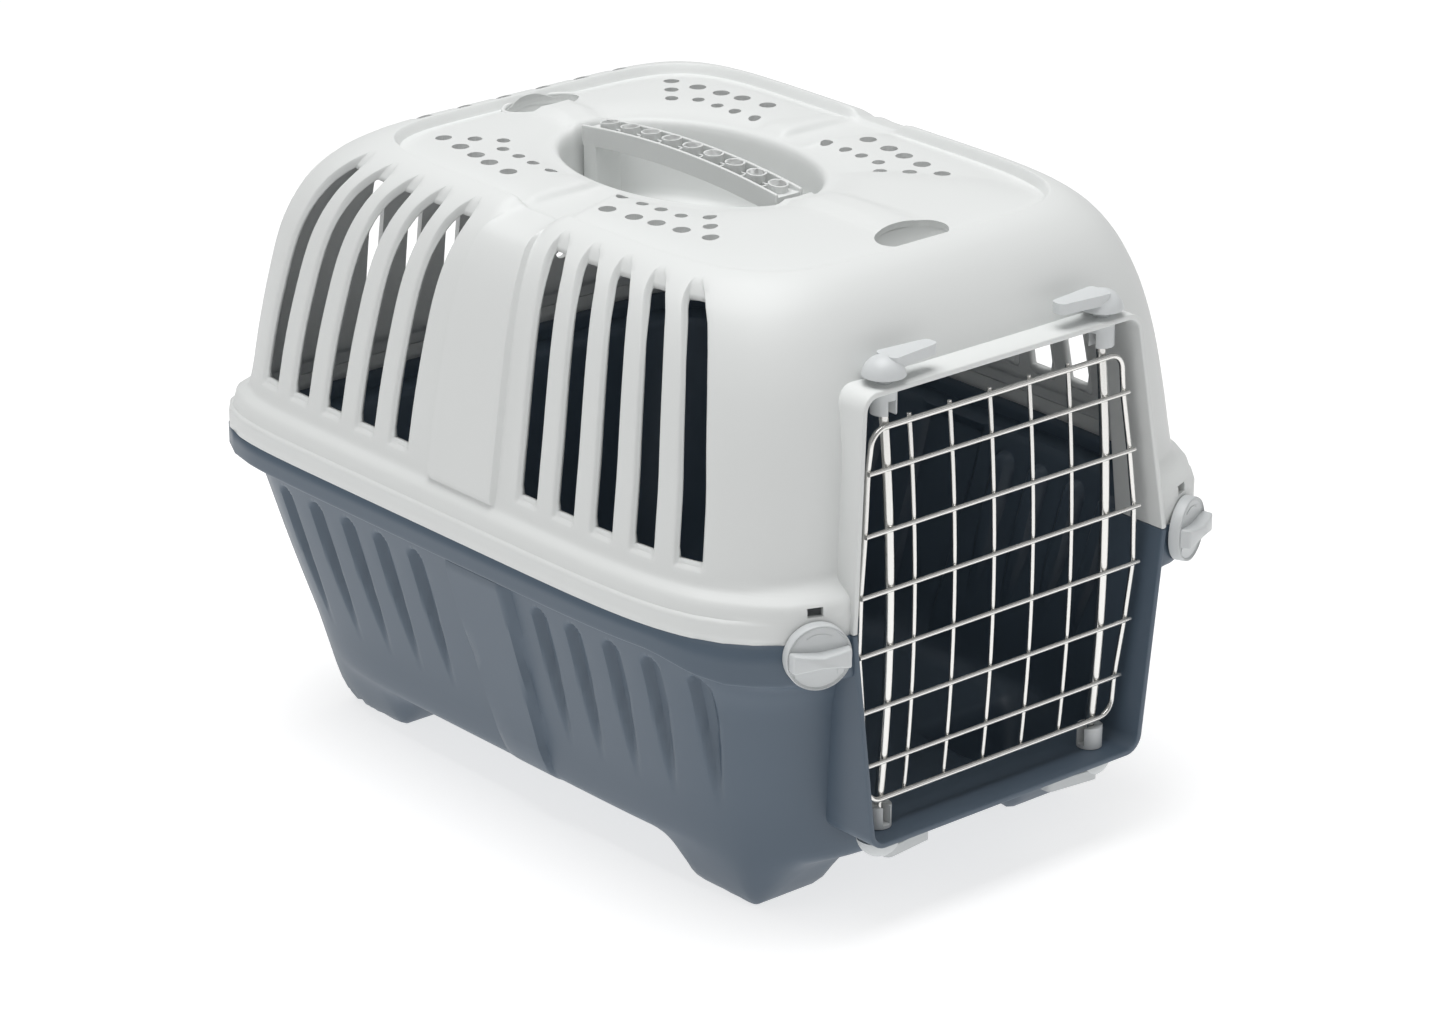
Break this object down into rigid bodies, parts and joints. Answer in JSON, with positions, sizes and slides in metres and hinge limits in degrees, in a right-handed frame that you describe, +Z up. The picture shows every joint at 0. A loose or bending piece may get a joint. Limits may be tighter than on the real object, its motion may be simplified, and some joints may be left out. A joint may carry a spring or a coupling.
{
  "type": "pet transport carrier",
  "caption": "Hand-carried pet carrier: tapered tray, ventilated top shell with grip, wire mesh door held by turning latches, and side locks.",
  "frame": {"origin": "on the ground, in the middle of the carrier's box seen from above", "axes": "+X is the viewer's right when facing the door, the door faces -Y, +Y runs to the rear, +Z is up"},
  "size_m": [0.347, 0.4596, 0.329],
  "materials": {
    "shell_pale_grey_pp": "fine matte texture, injection moulded polypropylene",
    "tray_blue_grey_pp": "satin, injection moulded polypropylene",
    "fittings_light_grey": "satin, injection moulded plastic",
    "nickel_plated_wire": "bright nickel-plated steel wire"
  },
  "bodies": {
    "tray": {"bottom_tray": "tray_blue_grey_pp"},
    "lid": {"top_shell": "shell_pale_grey_pp", "carry_handle": "shell_pale_grey_pp", "strap_bar_front": "shell_pale_grey_pp", "strap_bar_rear": "shell_pale_grey_pp"},
    "door": {"door_border_wire": "nickel_plated_wire", "door_upright_wires": "nickel_plated_wire", "door_cross_wires": "nickel_plated_wire", "door_rod_left": "nickel_plated_wire", "door_rod_right": "nickel_plated_wire"},
    "latch_top_left": {"latch_lever_top_left": "fittings_light_grey", "latch_jaw_top_left": "fittings_light_grey"},
    "latch_bottom_left": {"latch_lever_bottom_left": "fittings_light_grey", "latch_jaw_bottom_left": "fittings_light_grey"},
    "side_lock_left": {"side_dial_left": "fittings_light_grey", "dial_cam_left": "fittings_light_grey"},
    "latch_top_right": {"latch_lever_top_right": "fittings_light_grey", "latch_jaw_top_right": "fittings_light_grey"},
    "latch_bottom_right": {"latch_lever_bottom_right": "fittings_light_grey", "latch_jaw_bottom_right": "fittings_light_grey"},
    "side_lock_right": {"side_dial_right": "fittings_light_grey", "dial_cam_right": "fittings_light_grey"}
  },
  "joints": [
    {"name": "lid_hinge", "type": "hinge", "parent": "tray", "child": "lid", "pos_m": [0, 0.224, 0.166], "axis": [-1, 0, 0], "range_deg": [0, 80]},
    {"name": "door_hinge", "type": "hinge", "parent": "tray", "child": "door", "pos_m": [0.0715, -0.2025, 0.16], "axis": [0, 0, 1], "range_deg": [0, 110]},
    {"name": "latch_top_left_turn", "type": "hinge", "parent": "lid", "child": "latch_top_left", "pos_m": [-0.0715, -0.2025, 0.28], "axis": [0, 0, -1], "range_deg": [0, 90]},
    {"name": "latch_bottom_left_turn", "type": "hinge", "parent": "tray", "child": "latch_bottom_left", "pos_m": [-0.0715, -0.2025, 0.05], "axis": [0, 0, -1], "range_deg": [0, 90]},
    {"name": "side_lock_left_turn", "type": "hinge", "parent": "tray", "child": "side_lock_left", "pos_m": [-0.1217, -0.212, 0.16], "axis": [0.3746, 0.9272, 0], "range_deg": [0, 85]},
    {"name": "latch_top_right_turn", "type": "hinge", "parent": "lid", "child": "latch_top_right", "pos_m": [0.0715, -0.2025, 0.28], "axis": [0, 0, 1], "range_deg": [0, 90]},
    {"name": "latch_bottom_right_turn", "type": "hinge", "parent": "tray", "child": "latch_bottom_right", "pos_m": [0.0715, -0.2025, 0.05], "axis": [0, 0, 1], "range_deg": [0, 90]},
    {"name": "side_lock_right_turn", "type": "hinge", "parent": "tray", "child": "side_lock_right", "pos_m": [0.1217, -0.212, 0.16], "axis": [0.3746, -0.9272, 0], "range_deg": [0, 85]}
  ]
}
